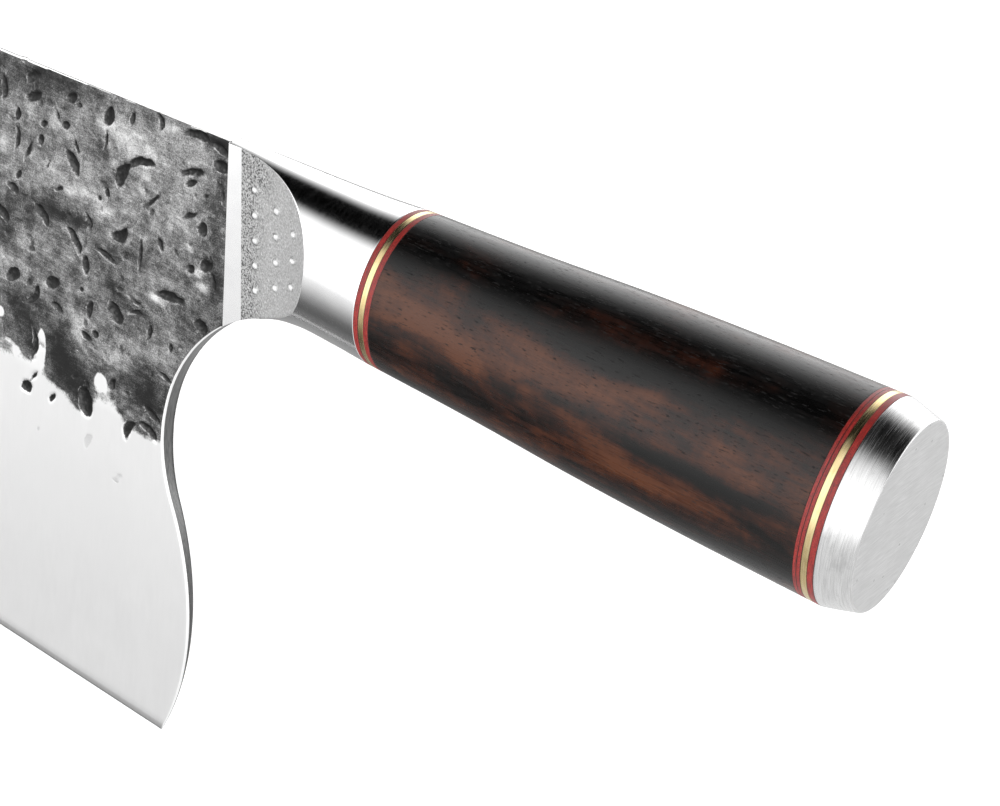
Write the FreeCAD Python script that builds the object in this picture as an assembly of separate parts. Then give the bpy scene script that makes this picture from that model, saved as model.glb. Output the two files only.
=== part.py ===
"""Meat cleaver: a forged blade, a cast bolster and a stacked handle, one STEP file per piece.

The handle's front plane, where the bolster meets the first liner, is X = 0 while the pieces are made,
with the handle's centre line there at Y = Z = 0. +X runs to the butt, +Z to the spine and the cutting
edge points down. Each finished piece is then moved so that the part's own origin is on the floor under
the middle of the cleaver, standing on its cutting edge.
"""
import FreeCAD, Part
import math
import os

Vector = FreeCAD.Vector

# Blade, in millimetres
EDGE_Z = -106.7                     # height of the cutting edge
TOE_X = -228.0                      # front corner of the cutting edge
TOE_RAKE = 4.0                      # how far the front end leans back at the spine
SPINE_Z_AT_RING = 12.9              # height of the spine line, carried on to the handle's front plane
SPINE_SLOPE = 0.035                 # rise of the spine line towards the handle
NOSE_RADIUS = 16.0                  # round where the spine meets the front end
SEAM_X = -35.0                      # welded seam at the handle's height
SEAM_LEAN = 0.087                   # the seam leans this far forward per millimetre of height
THROAT_CENTRE = (-12.6, -43.9)      # X and Z of the finger throat's arc
THROAT_RADIUS = 31.6
HEEL_CENTRE = (-92.5, -84.6)        # X and Z of the heel's outward arc, which meets the throat's arc
BLADE_THICKNESS = 3.2
GRIND_Z = -47.0                     # the bright grind starts here and runs down to the edge
BEVEL_Z = -105.2                    # top of the narrow sharpening bevel
BEVEL_THICKNESS = 0.6
EDGE_THICKNESS = 0.16
SPINE_ROUND = 0.25                  # round along both corners of the spine

# Bolster
PAD_X = -31.7                       # the sloped pad starts here, at the blade's thickness
PAD_LEAN = 0.13                     # its front line leans forward per millimetre of height
PAD_END_X = -11.1                   # the lean has faded out here, at the back of the pad
PAD_SLOPE = 0.08                    # rise of the pad per millimetre where it starts
PAD_HOLLOW = 0.0165                 # further rise per millimetre squared: the pad is hollow
# block that the pads are cut on, just longer and higher than the bolster
WEDGE_FRONT = -45.0
WEDGE_BOTTOM = -30.0
WEDGE_TOP = 14.0
WEDGE_STEPS = 10                    # spans of the curve along the pad
WEDGE_REACH = 25.0                  # how far that curve runs back from the pad's front line
WEDGE_BACK = 1.0
# X, half height above, half height below, half width
BOLSTER_SECTIONS = [
    (0.0, 13.0, 13.0, 11.25),
    (-8.0, 12.4, 12.8, 10.5),
    (-16.0, 12.05, 13.0, 9.8),
    (-24.0, 11.85, 15.0, 9.0),
    (-34.0, 11.7, 21.5, 7.0),
    (-38.0, 11.6, 24.5, 6.2),
]
DOT_ROWS = [3, 3, 3, 2, 1]          # dots in each row of the pad, from the top row down
DOT_FIRST_X = -29.13
DOT_TOP_Z = 6.01
DOT_PITCH_X = 6.25
DOT_PITCH_Z = 4.13
DOT_DROP = 0.85                     # each column starts this much lower than the one before it
DOT_LEAN = 0.151                    # each column leans back towards the handle as it goes down
DOT_RADIUS = 0.6
DOT_HEIGHT = 0.35

# Handle
# X, half height; the last one is at the front of the end cap
HANDLE_HALF_HEIGHTS = [(0.0, 13.0), (20.0, 13.7), (40.0, 14.75), (60.0, 15.4), (80.8, 15.75)]
WIDTH_RATIO = 11.25 / 13.0          # the section is an upright oval
AXIS_RISE = 0.014                   # the handle's centre line climbs this much per millimetre
LINER = 1.0
HALF_LINER = 0.6
BRASS = 1.0
GRIP_LENGTH = 74.6
CAP_LENGTH = 5.0
# distance behind the cap's front face, half height
CAP_PROFILE = [(0.0, 15.75), (1.7, 15.3), (3.4, 14.8), (CAP_LENGTH, 14.3)]
CAP_EDGE_ROUND = 0.4

# Inside the handle
TANG_HEIGHT = 9.0
TANG_THICKNESS = 4.0
TANG_SOCKET_DEPTH = 9.0             # how far the bar is let into the bolster
TANG_BAR_END = 66.0
STUD_RADIUS = 3.0
STUD_END = 82.6
SLOT_CLEARANCE = 0.1
BORE_RADIUS = 5.3
SPIGOT_RADIUS = 5.6
SPIGOT_FRONT = 70.0
SPIGOT_CLEARANCE = 0.15

# Stations along the handle
FRONT_LINER_1 = LINER
FRONT_BRASS = FRONT_LINER_1 + BRASS
GRIP_FRONT = FRONT_BRASS + LINER
GRIP_BACK = GRIP_FRONT + GRIP_LENGTH
REAR_SPLIT = GRIP_BACK + HALF_LINER
REAR_BRASS = REAR_SPLIT + HALF_LINER
REAR_LINER = REAR_BRASS + BRASS
CAP_FRONT = REAR_LINER + LINER
CAP_BACK = CAP_FRONT + CAP_LENGTH

# The part's origin, under the middle of the cleaver on the floor
ORIGIN = Vector((TOE_X + CAP_BACK) / 2, 0, EDGE_Z)

FAR = 60.0                          # longer than any section is wide
OVERSHOOT = 1.0                     # cuts and joins run this far past the face they pass through
SPIGOT_ROOT = 0.5                   # how far the spigot starts inside the cap
SEAM_STEPS = 12                     # rounds of closing in on the ends of the seam
SAME = 0.01                         # two stations closer than this are the same


def spine_z(x):
    """Height of the spine line at x."""
    return SPINE_Z_AT_RING + SPINE_SLOPE * x


def throat_z(x):
    """Height of the throat's arc at x, on its upper side."""
    return THROAT_CENTRE[1] + math.sqrt(THROAT_RADIUS ** 2 - (x - THROAT_CENTRE[0]) ** 2)


def seam_ends():
    """Top and bottom of the seam: a leaning line between the spine and the throat's arc."""
    top_x = SEAM_X
    bottom_x = SEAM_X
    for _ in range(SEAM_STEPS):
        top_x = SEAM_X - SEAM_LEAN * spine_z(top_x)
        bottom_x = SEAM_X - SEAM_LEAN * throat_z(bottom_x)
    return Vector(top_x, 0, spine_z(top_x)), Vector(bottom_x, 0, throat_z(bottom_x))


def heel_radius():
    """Radius that makes the heel's arc touch the throat's arc."""
    across = THROAT_CENTRE[0] - HEEL_CENTRE[0]
    up = THROAT_CENTRE[1] - HEEL_CENTRE[1]
    return math.hypot(across, up) - THROAT_RADIUS


def on_arc(centre, radius, angle):
    """Point in the blade's plane on an arc, with the angle from +X towards +Z."""
    return Vector(centre[0] + radius * math.cos(angle), 0, centre[1] + radius * math.sin(angle))


def face_of(edges):
    """Flat face inside a loop of edges."""
    return Part.Face(Part.Wire(edges))


def polygon_face(points):
    """Flat face inside a closed polygon."""
    return Part.Face(Part.makePolygon(points + [points[0]]))


def box(x0, x1, half_y, z0, z1):
    """Box that is centred on the blade's plane."""
    return Part.makeBox(x1 - x0, 2 * half_y, z1 - z0, Vector(x0, -half_y, z0))


def rod(x0, x1, radius, z=0.0):
    """Round bar along X."""
    return Part.makeCylinder(radius, x1 - x0, Vector(x0, 0, z), Vector(1, 0, 0))


def blade_side():
    """Side view of the blade: spine, round nose, front end, edge, heel arc, throat arc and weld seam."""
    r_heel = heel_radius()
    seam_top, seam_bottom = seam_ends()
    toe = Vector(TOE_X, 0, EDGE_Z)
    top_x = TOE_X + TOE_RAKE
    top = Vector(top_x, 0, spine_z(top_x))

    # round nose: an arc tangent to the spine and to the front end
    along_spine = (seam_top - top).normalize()
    down_front = (toe - top).normalize()
    half_turn = along_spine.getAngle(down_front) / 2
    reach = NOSE_RADIUS / math.tan(half_turn)
    nose_a = top + along_spine * reach
    nose_b = top + down_front * reach
    to_centre = (along_spine + down_front).normalize()
    nose_centre = top + to_centre * (NOSE_RADIUS / math.sin(half_turn))
    nose_mid = nose_centre - to_centre * NOSE_RADIUS

    # the heel's arc runs from the edge to its touching point with the throat's arc
    heel_x = HEEL_CENTRE[0] + math.sqrt(r_heel ** 2 - (EDGE_Z - HEEL_CENTRE[1]) ** 2)
    heel = Vector(heel_x, 0, EDGE_Z)
    heel_angle = math.atan2(EDGE_Z - HEEL_CENTRE[1], heel_x - HEEL_CENTRE[0])
    touch_angle = math.atan2(THROAT_CENTRE[1] - HEEL_CENTRE[1], THROAT_CENTRE[0] - HEEL_CENTRE[0])
    touch = on_arc(HEEL_CENTRE, r_heel, touch_angle)
    heel_mid = on_arc(HEEL_CENTRE, r_heel, (heel_angle + touch_angle) / 2)

    # the throat's arc runs on from there, over the top of the finger space, to the weld seam
    throat_start = touch_angle + math.pi
    throat_end = math.atan2(seam_bottom.z - THROAT_CENTRE[1], seam_bottom.x - THROAT_CENTRE[0])
    throat_mid = on_arc(THROAT_CENTRE, THROAT_RADIUS, (throat_start + throat_end) / 2)

    return face_of([
        Part.LineSegment(seam_top, nose_a).toShape(),
        Part.Arc(nose_a, nose_mid, nose_b).toShape(),
        Part.LineSegment(nose_b, toe).toShape(),
        Part.LineSegment(toe, heel).toShape(),
        Part.Arc(heel, heel_mid, touch).toShape(),
        Part.Arc(touch, throat_mid, seam_bottom).toShape(),
        Part.LineSegment(seam_bottom, seam_top).toShape(),
    ])


def blade_section():
    """Cross-section of the blade: parallel above the grind, then tapering to the sharpened edge."""
    half = BLADE_THICKNESS / 2
    right = [
        Vector(TOE_X, half, FAR),
        Vector(TOE_X, half, GRIND_Z),
        Vector(TOE_X, BEVEL_THICKNESS / 2, BEVEL_Z),
        Vector(TOE_X, EDGE_THICKNESS / 2, EDGE_Z),
    ]
    left = [Vector(p.x, -p.y, p.z) for p in reversed(right)]
    return polygon_face(right + left)


def spine_rounding():
    """Long bar whose top corners are rounded and follow the spine."""
    half = BLADE_THICKNESS / 2
    top = spine_z(TOE_X)
    low = top - 3 * FAR
    slant = math.sqrt(0.5) * SPINE_ROUND
    section = face_of([
        Part.LineSegment(Vector(TOE_X, -half, low), Vector(TOE_X, -half, top - SPINE_ROUND)).toShape(),
        Part.Arc(
            Vector(TOE_X, -half, top - SPINE_ROUND),
            Vector(TOE_X, -half + SPINE_ROUND - slant, top - SPINE_ROUND + slant),
            Vector(TOE_X, -half + SPINE_ROUND, top)).toShape(),
        Part.LineSegment(Vector(TOE_X, -half + SPINE_ROUND, top),
                         Vector(TOE_X, half - SPINE_ROUND, top)).toShape(),
        Part.Arc(
            Vector(TOE_X, half - SPINE_ROUND, top),
            Vector(TOE_X, half - SPINE_ROUND + slant, top - SPINE_ROUND + slant),
            Vector(TOE_X, half, top - SPINE_ROUND)).toShape(),
        Part.LineSegment(Vector(TOE_X, half, top - SPINE_ROUND), Vector(TOE_X, half, low)).toShape(),
        Part.LineSegment(Vector(TOE_X, half, low), Vector(TOE_X, -half, low)).toShape(),
    ])
    length = -TOE_X
    return section.extrude(Vector(length, 0, SPINE_SLOPE * length))


def blade():
    """The forged plate."""
    plate = blade_side().extrude(Vector(0, 2 * FAR, 0))
    plate.translate(Vector(0, -FAR, 0))
    taper = blade_section().extrude(Vector(-TOE_X, 0, 0))
    return plate.common(taper).common(spine_rounding())


def half_oval(x, centre_z, half_height, half_width, up):
    """Upper or lower half of an oval section across the handle."""
    way = 1 if up else -1
    oval = Part.Ellipse(
        Vector(x, 0, centre_z + way * half_height),
        Vector(x, way * half_width, centre_z),
        Vector(x, 0, centre_z),
    )
    return Part.ArcOfEllipse(oval, -math.pi / 2, math.pi / 2).toShape()


def oval_wire(x, half_height):
    """Closed oval section of the handle at x."""
    centre_z = AXIS_RISE * x
    half_width = half_height * WIDTH_RATIO
    return Part.Wire([
        half_oval(x, centre_z, half_height, half_width, True),
        half_oval(x, centre_z, half_height, half_width, False),
    ])


def bolster_wire(x, above, below, half_width):
    """Closed section of the bolster, made of two half ovals that differ in height."""
    return Part.Wire([
        half_oval(x, 0.0, above, half_width, True),
        half_oval(x, 0.0, below, half_width, False),
    ])


def pad_rise(behind):
    """How far the hollow pad has risen at a distance behind its front line."""
    return PAD_SLOPE * behind + PAD_HOLLOW * behind ** 2


def pad_point(station, side, z):
    """Point of one pad at height z, on the leaning line that crosses the axis at the station."""
    lean = PAD_LEAN * (PAD_END_X - station) / (PAD_END_X - PAD_X)
    half = BLADE_THICKNESS / 2 + pad_rise(station - PAD_X)
    return Vector(station - lean * z, side * half, z)


def pad_station(x, z):
    """Station of the leaning line of the pad that passes through x and z."""
    twist = PAD_LEAN / (PAD_END_X - PAD_X) * z
    return (x + twist * PAD_END_X) / (1 + twist)


def pad_curve(side, z):
    """Hollow curve of one pad at height z, from its front line backwards."""
    points = []
    for k in range(WEDGE_STEPS + 1):
        points.append(pad_point(PAD_X + WEDGE_REACH * k / WEDGE_STEPS, side, z))
    curve = Part.BSplineCurve()
    curve.interpolate(points)
    return curve.toShape(), points[0], points[-1]


def pad_outline(z):
    """Outline of the pads seen from above, at height z."""
    right_curve, right_front, right_back = pad_curve(-1, z)
    left_curve, left_front, left_back = pad_curve(1, z)
    nose_right = Vector(WEDGE_FRONT, right_front.y, z)
    nose_left = Vector(WEDGE_FRONT, left_front.y, z)
    tail_right = Vector(WEDGE_BACK, right_back.y, z)
    tail_left = Vector(WEDGE_BACK, left_back.y, z)
    return Part.Wire([
        Part.LineSegment(nose_right, right_front).toShape(),
        right_curve,
        Part.LineSegment(right_back, tail_right).toShape(),
        Part.LineSegment(tail_right, tail_left).toShape(),
        Part.LineSegment(tail_left, left_back).toShape(),
        left_curve,
        Part.LineSegment(left_front, nose_left).toShape(),
        Part.LineSegment(nose_left, nose_right).toShape(),
    ])


def pad_wedge():
    """Wedge that cuts the two hollow pads on the bolster. Its front leans and its back is upright."""
    return Part.makeLoft([pad_outline(WEDGE_BOTTOM), pad_outline(WEDGE_TOP)], True, True)


def behind_seam():
    """Block on the handle's side of the seam."""
    top, bottom = seam_ends()
    along = (top - bottom).normalize() * FAR
    corners = [bottom - along, top + along, Vector(0, 0, FAR), Vector(0, 0, -FAR)]
    block = polygon_face(corners).extrude(Vector(0, 2 * FAR, 0))
    block.translate(Vector(0, -FAR, 0))
    return block


def pad_dots():
    """Low round dots standing on both pads, in rows that get shorter towards the throat."""
    ball_radius = (DOT_RADIUS ** 2 + DOT_HEIGHT ** 2) / (2 * DOT_HEIGHT)
    sink = ball_radius - DOT_HEIGHT
    dots = []
    for row, count in enumerate(DOT_ROWS):
        for column in range(count):
            z = DOT_TOP_Z - row * DOT_PITCH_Z - column * DOT_DROP
            x = DOT_FIRST_X + column * DOT_PITCH_X + DOT_LEAN * row * DOT_PITCH_Z
            behind = pad_station(x, z) - PAD_X
            slope = PAD_SLOPE + 2 * PAD_HOLLOW * behind
            normal_length = math.hypot(1.0, slope)
            ball_x = x + sink * slope / normal_length
            ball_y = BLADE_THICKNESS / 2 + pad_rise(behind) - sink / normal_length
            for side in (-1, 1):
                dots.append(Part.makeSphere(ball_radius, Vector(ball_x, side * ball_y, z)))
    return dots


def bolster():
    """Cast bolster: an oval body that thins towards the blade, two dotted pads and the tang's socket."""
    wires = [bolster_wire(*section) for section in BOLSTER_SECTIONS]
    body = Part.makeLoft(wires, True, False)
    body = body.common(pad_wedge())
    body = body.common(behind_seam())
    throat = Part.makeCylinder(
        THROAT_RADIUS, 2 * FAR, Vector(THROAT_CENTRE[0], -FAR, THROAT_CENTRE[1]), Vector(0, 1, 0))
    body = body.cut(throat)
    body = body.fuse(pad_dots())
    return body.cut(tang_bar(-TANG_SOCKET_DEPTH, OVERSHOOT, 0.0))


def tang_bar(x0, x1, clearance):
    """Flat bar of the tang between two stations, with a clearance all round for a slot."""
    half_z = TANG_HEIGHT / 2 + clearance
    return box(x0, x1, TANG_THICKNESS / 2 + clearance, -half_z, half_z)


def tang():
    """Flat bar with a stud on its end."""
    bar = tang_bar(-TANG_SOCKET_DEPTH, TANG_BAR_END, 0.0)
    return bar.fuse(rod(TANG_BAR_END - OVERSHOOT, STUD_END, STUD_RADIUS)).removeSplitter()


def handle_body():
    """Outer shape of the stacked handle, from the bolster to the cap, before it is cut into pieces."""
    wires = [oval_wire(x, half) for x, half in HANDLE_HALF_HEIGHTS]
    return Part.makeLoft(wires, True, False)


def slice_of(body, x0, x1):
    """Part of a body between two stations."""
    return body.common(box(x0, x1, FAR, -FAR, FAR))


def front_ring(body, x0, x1):
    """Liner or spacer at the front of the handle, slotted for the tang."""
    return slice_of(body, x0, x1).cut(tang_bar(x0 - OVERSHOOT, x1 + OVERSHOOT, SLOT_CLEARANCE))


def rear_ring(body, x0, x1):
    """Liner or spacer at the back of the handle, drilled for the cap's spigot."""
    hole = rod(x0 - OVERSHOOT, x1 + OVERSHOOT, SPIGOT_RADIUS + SPIGOT_CLEARANCE)
    return slice_of(body, x0, x1).cut(hole)


def grip(body):
    """Wooden grip, bored for the tang and counterbored for the cap's spigot."""
    wood = slice_of(body, GRIP_FRONT, GRIP_BACK)
    wood = wood.cut(rod(GRIP_FRONT - OVERSHOOT, GRIP_BACK + OVERSHOOT, BORE_RADIUS))
    return wood.cut(rod(SPIGOT_FRONT, GRIP_BACK + OVERSHOOT, SPIGOT_RADIUS + SPIGOT_CLEARANCE))


def epoxy_bed():
    """Cured glue that fills the grip's bore round the tang."""
    plug = rod(GRIP_FRONT, SPIGOT_FRONT, BORE_RADIUS)
    return plug.cut(tang())


def end_cap():
    """Steel cap with a flat end face, a rounded rim and a tapped spigot that screws onto the stud."""
    wires = [oval_wire(CAP_FRONT + back, half) for back, half in CAP_PROFILE]
    cap = Part.makeLoft(wires, True, False)
    rim = [e for e in cap.Edges if min(v.X for v in e.Vertexes) > CAP_BACK - SAME]
    cap = cap.makeFillet(CAP_EDGE_ROUND, rim)
    cap = cap.fuse(rod(SPIGOT_FRONT, CAP_FRONT + SPIGOT_ROOT, SPIGOT_RADIUS))
    return cap.cut(rod(SPIGOT_FRONT - OVERSHOOT, STUD_END, STUD_RADIUS))


def pieces():
    """Every piece by its node's name."""
    body = handle_body()
    return {
        "blade": blade(),
        "bolster": bolster(),
        "tang": tang(),
        "front_liner_outer": front_ring(body, 0.0, FRONT_LINER_1),
        "front_brass_spacer": front_ring(body, FRONT_LINER_1, FRONT_BRASS),
        "front_liner_inner": front_ring(body, FRONT_BRASS, GRIP_FRONT),
        "grip": grip(body),
        "epoxy_bed": epoxy_bed(),
        "rear_liner_inner_front": rear_ring(body, GRIP_BACK, REAR_SPLIT),
        "rear_liner_inner_back": rear_ring(body, REAR_SPLIT, REAR_BRASS),
        "rear_brass_spacer": rear_ring(body, REAR_BRASS, REAR_LINER),
        "rear_liner_outer": rear_ring(body, REAR_LINER, CAP_FRONT),
        "end_cap": end_cap(),
    }


os.makedirs("parts", exist_ok=True)
for name, shape in pieces().items():
    shape = shape.copy()
    shape.translate(ORIGIN * -1)
    shape.exportStep("parts/" + name + ".step")
    size = shape.BoundBox
    print(name, "solids", len(shape.Solids), "volume", round(shape.Volume, 1), "valid", shape.isValid(),
          [round(v, 2) for v in (size.XMin, size.XMax, size.YMin, size.YMax, size.ZMin, size.ZMax)])
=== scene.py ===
import math
import random

import bmesh
import bpy
from mathutils import Matrix, Vector, noise


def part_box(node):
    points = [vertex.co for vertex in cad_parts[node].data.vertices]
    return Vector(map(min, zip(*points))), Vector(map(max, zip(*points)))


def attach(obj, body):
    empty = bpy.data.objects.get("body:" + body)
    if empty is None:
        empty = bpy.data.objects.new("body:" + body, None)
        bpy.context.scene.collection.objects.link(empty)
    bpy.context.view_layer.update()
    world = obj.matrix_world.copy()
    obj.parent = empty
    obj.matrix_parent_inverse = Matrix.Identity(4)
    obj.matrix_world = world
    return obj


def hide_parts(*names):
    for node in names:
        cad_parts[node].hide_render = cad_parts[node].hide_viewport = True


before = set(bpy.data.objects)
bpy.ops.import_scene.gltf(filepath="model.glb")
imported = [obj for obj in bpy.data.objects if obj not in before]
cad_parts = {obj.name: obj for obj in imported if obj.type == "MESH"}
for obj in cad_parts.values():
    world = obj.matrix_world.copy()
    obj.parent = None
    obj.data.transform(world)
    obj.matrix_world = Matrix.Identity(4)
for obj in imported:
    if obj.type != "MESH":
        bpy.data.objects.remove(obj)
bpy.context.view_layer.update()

# ---------------------------------------------------------------------------------------------------
# Place. The script works in millimetres from the middle of the handle's front ring, where the
# bolster meets the first liner. +X runs to the butt, +Z up to the spine, -Y towards the camera.
# ---------------------------------------------------------------------------------------------------
MM = 0.001
ring_low, ring_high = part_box("front_liner_outer")
LINER = 1.0
AXIS_RISE = 0.014
RING = Vector((ring_low.x, 0.0, (ring_low.z + ring_high.z) / 2 - AXIS_RISE * LINER / 2 * MM))
blade_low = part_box("blade")[0]

# Blade
EDGE_Z = (blade_low.z - RING.z) / MM
TOE_X = (blade_low.x - RING.x) / MM
TOE_RAKE = 4.0
SPINE_Z = 12.9
SPINE_SLOPE = 0.035
NOSE_RADIUS = 16.0
SEAM_X, SEAM_LEAN = -35.0, 0.087
THROAT_X, THROAT_Z, THROAT_R = -12.6, -43.9, 31.6
HEEL_X, HEEL_Z = -92.5, -84.6
HEEL_R = math.hypot(THROAT_X - HEEL_X, THROAT_Z - HEEL_Z) - THROAT_R
HALF_BLADE = 1.6
GRIND_Z = -47.0
BEVEL_Z = -105.2
HALF_BEVEL = 0.3
HALF_EDGE = 0.08
EDGE_ROUND = 0.35
SPINE_ROUND = 0.25
BRIGHT_BORDER = 0.28          # width of the ground line along the throat and the heel
# The ground line along the spine: its least width, how much it widens and where it does, its ripple
SPINE_LINE, SPINE_LINE_MORE, SPINE_LINE_RIPPLE = 0.14, 0.5, 0.08
SPINE_LINE_FROM, SPINE_LINE_RUN = -62.0, 30.0
# Rows of the mesh just under the spine's corner, as distances below it
TOP_GAPS = (0.8, 0.4, 0.25, 0.15, 0.06, 0.0)
# Mesh of the blade: finer near the handle and above FINE_Z
FINE_X, FINE_Z = -95.0, -58.0
FINE_COLUMNS, COARSE_COLUMNS = 148, 94
ROW_STEP = 0.43
END_GAP = 0.42                # the even columns stop this far from both ends of a row
CELL = 4.0                    # cell size of the search table for hammer marks

# Bolster
PAD_X, PAD_LEAN = -31.7, 0.13
PAD_SLOPE, PAD_HOLLOW = 0.08, 0.0165
# X, height above, height below, half width
BOLSTER = [
    (0.0, 13.0, 13.0, 11.25),
    (-8.0, 12.4, 12.8, 10.5),
    (-16.0, 12.05, 13.0, 9.8),
    (-24.0, 11.85, 15.0, 9.0),
    (-34.0, 11.7, 21.5, 7.0),
    (-38.0, 11.6, 24.5, 6.2),
]

# Handle
HANDLE = [(0.0, 13.0), (20.0, 13.7), (40.0, 14.75), (60.0, 15.4), (80.8, 15.75)]
WIDTH_RATIO = 11.25 / 13.0
CAP = [(80.8, 15.75), (82.5, 15.3), (84.2, 14.8), (85.8, 14.3)]
AROUND = 192
TURNS = [(math.sin(2 * math.pi * k / AROUND), math.cos(2 * math.pi * k / AROUND)) for k in range(AROUND)]
INSIDE = 0.008                # the visual ovals stay this far inside the solid model


def at(x, y, z):
    """Point in the frame, in metres, from millimetres off the front ring."""
    return Vector((RING.x + x * MM, RING.y + y * MM, RING.z + z * MM))


def clamp(v, lo=0.0, hi=1.0):
    return max(lo, min(hi, v))


def smooth(v):
    v = clamp(v)
    return v * v * (3 - 2 * v)


def spline(points, x, column=1):
    """Smooth value between rows of a table, by cubic Hermite pieces with finite-difference slopes."""
    rows = sorted(points)
    n = len(rows)
    k = max(0, min(n - 2, next((i for i in range(n - 1) if x <= rows[i + 1][0]), n - 2)))

    def slope(i):
        a, b = max(0, i - 1), min(n - 1, i + 1)
        return (rows[b][column] - rows[a][column]) / (rows[b][0] - rows[a][0])

    x0, x1 = rows[k][0], rows[k + 1][0]
    t = (x - x0) / (x1 - x0)
    h = x1 - x0
    return ((2 * t ** 3 - 3 * t ** 2 + 1) * rows[k][column] + (t ** 3 - 2 * t ** 2 + t) * h * slope(k)
            + (-2 * t ** 3 + 3 * t ** 2) * rows[k + 1][column] + (t ** 3 - t ** 2) * h * slope(k + 1))


# ---------------------------------------------------------------------------------------------------
# Material helpers
# ---------------------------------------------------------------------------------------------------
class Graph:
    """Small helper that adds nodes to a node tree. A colour may be given as one grey number."""

    def __init__(self, owner):
        owner.use_nodes = True
        self.tree = owner.node_tree
        self.tree.nodes.clear()

    def link(self, a, b):
        self.tree.links.new(a, b)

    def put(self, socket, value):
        if isinstance(value, bpy.types.NodeSocket):
            self.link(value, socket)
        elif socket.type == "RGBA":
            socket.default_value = (*value, 1.0) if isinstance(value, tuple) else (value, value, value, 1.0)
        else:
            socket.default_value = value

    def math(self, op, a, b=0.0):
        n = self.tree.nodes.new("ShaderNodeMath")
        n.operation = op
        self.put(n.inputs[0], a)
        self.put(n.inputs[1], b)
        return n.outputs[0]

    def times(self, a, b):
        return self.math("MULTIPLY", a, b)

    def plus(self, a, b):
        return self.math("ADD", a, b)

    def less(self, a, b):
        return self.math("SUBTRACT", a, b)

    def ramp(self, fac, *stops):
        """Colour ramp. A stop is (position, grey) or (position, (r, g, b))."""
        n = self.tree.nodes.new("ShaderNodeValToRGB")
        els = n.color_ramp.elements
        while len(els) < len(stops):
            els.new(0.5)
        for el, (pos, col) in zip(els, stops):
            el.position = pos
            el.color = (col, col, col, 1) if isinstance(col, (int, float)) else (*col, 1)
        self.put(n.inputs[0], fac)
        return n.outputs[0]

    def remap(self, value, a, b, c=0.0, d=1.0, kind="SMOOTHSTEP"):
        """Takes a value that runs from a to b over to the run from c to d."""
        n = self.tree.nodes.new("ShaderNodeMapRange")
        n.interpolation_type = kind
        self.put(n.inputs["Value"], value)
        for key, v in (("From Min", a), ("From Max", b), ("To Min", c), ("To Max", d)):
            n.inputs[key].default_value = v
        return n.outputs["Result"]


class Nodes(Graph):
    """A node material round one principled shader."""

    def __init__(self, name):
        self.mat = bpy.data.materials.new(name)
        super().__init__(self.mat)
        out = self.tree.nodes.new("ShaderNodeOutputMaterial")
        self.bsdf = self.tree.nodes.new("ShaderNodeBsdfPrincipled")
        self.link(self.bsdf.outputs[0], out.inputs[0])
        self._coord = None

    def set(self, **values):
        for key, value in values.items():
            self.put(self.bsdf.inputs[key.replace("_", " ")], value)

    def coord(self, scale=(1, 1, 1), shift=(0, 0, 0), turn=(0, 0, 0)):
        """Object coordinates in millimetres off the front ring, then scaled, shifted or turned."""
        if self._coord is None:
            tc = self.tree.nodes.new("ShaderNodeTexCoord")
            m = self.tree.nodes.new("ShaderNodeMapping")
            m.vector_type = "POINT"
            m.inputs["Location"].default_value = (-RING.x / MM, -RING.y / MM, -RING.z / MM)
            m.inputs["Scale"].default_value = (1 / MM,) * 3
            self.link(tc.outputs["Object"], m.inputs["Vector"])
            self._coord = m.outputs[0]
        if scale == (1, 1, 1) and shift == (0, 0, 0) and turn == (0, 0, 0):
            return self._coord
        m = self.tree.nodes.new("ShaderNodeMapping")
        m.inputs["Location"].default_value = shift
        m.inputs["Rotation"].default_value = [math.radians(a) for a in turn]
        m.inputs["Scale"].default_value = scale
        self.link(self._coord, m.inputs["Vector"])
        return m.outputs[0]

    def noise(self, vector, scale, detail=4.0, rough=0.55, distort=0.0):
        n = self.tree.nodes.new("ShaderNodeTexNoise")
        self.link(vector, n.inputs["Vector"])
        n.inputs["Scale"].default_value = scale
        n.inputs["Detail"].default_value = detail
        n.inputs["Roughness"].default_value = rough
        n.inputs["Distortion"].default_value = distort
        return n.outputs["Fac"]

    def voronoi(self, vector, scale):
        n = self.tree.nodes.new("ShaderNodeTexVoronoi")
        self.link(vector, n.inputs["Vector"])
        n.inputs["Scale"].default_value = scale
        return n.outputs["Distance"]

    def mix(self, fac, a, b):
        n = self.tree.nodes.new("ShaderNodeMix")
        n.data_type = "RGBA"
        self.put(n.inputs[0], fac)
        self.put(n.inputs[6], a)
        self.put(n.inputs[7], b)
        return n.outputs[2]

    def attribute(self, name):
        n = self.tree.nodes.new("ShaderNodeAttribute")
        n.attribute_name = name
        return n.outputs["Fac"]

    def axis(self, vector, which):
        n = self.tree.nodes.new("ShaderNodeSeparateXYZ")
        self.link(vector, n.inputs[0])
        return n.outputs[which]

    def bump(self, height, strength, distance_mm, base=None):
        n = self.tree.nodes.new("ShaderNodeBump")
        n.inputs["Strength"].default_value = strength
        n.inputs["Distance"].default_value = distance_mm * MM
        self.put(n.inputs["Height"], height)
        if base is not None:
            self.link(base, n.inputs["Normal"])
        return n.outputs[0]


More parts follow.
